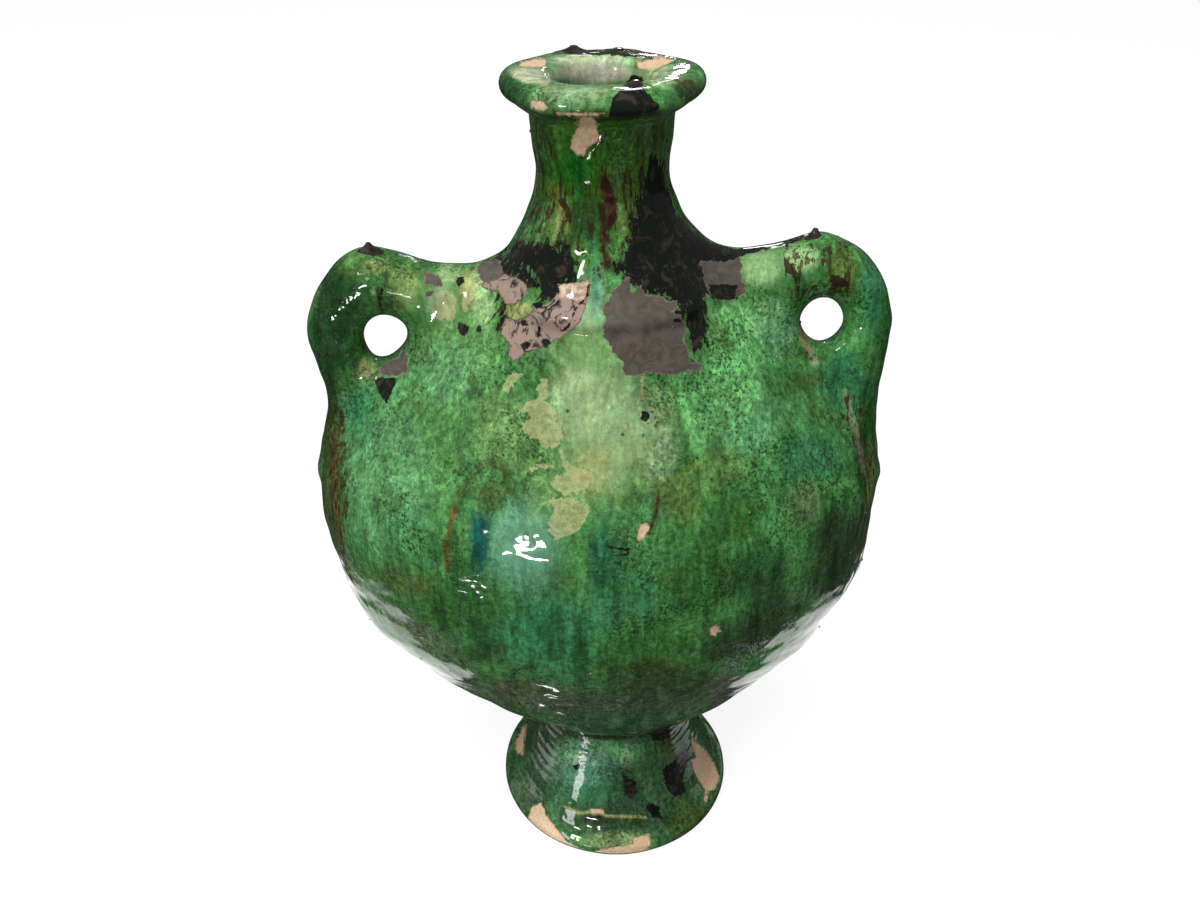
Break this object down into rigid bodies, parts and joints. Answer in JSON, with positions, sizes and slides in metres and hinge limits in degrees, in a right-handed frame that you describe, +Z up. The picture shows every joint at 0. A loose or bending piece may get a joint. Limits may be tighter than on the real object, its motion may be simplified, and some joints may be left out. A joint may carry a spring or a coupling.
{
  "type": "pitcher",
  "caption": "Green-glazed earthenware flask with a flattened round body, flared foot, rolled lip and two pierced cord lugs.",
  "frame": {"origin": "centre of the body's plan on the plane that the foot stands on", "axes": "+Z up through the body, -Y towards the pictured front, +X to the right as the picture shows it"},
  "size_m": [0.2654, 0.156, 0.3995],
  "materials": {
    "body_glaze": "glossy",
    "foot_glaze": "glossy",
    "neck_glaze": "glossy",
    "rim_glaze": "glossy",
    "lug_glaze": "glossy",
    "bead_glaze": "glossy"
  },
  "bodies": {
    "root": {"body_front": "body_glaze", "body_back": "body_glaze", "foot": "foot_glaze", "foot_collar": "foot_glaze", "neck": "neck_glaze", "rim": "rim_glaze", "lug_left": "lug_glaze", "lug_right": "lug_glaze", "bead_lug_left": "bead_glaze", "bead_lug_right": "bead_glaze", "bead_rim_back_left": "bead_glaze", "bead_rim_back_right": "bead_glaze", "bead_rim_front_right": "bead_glaze"}
  },
  "joints": []
}
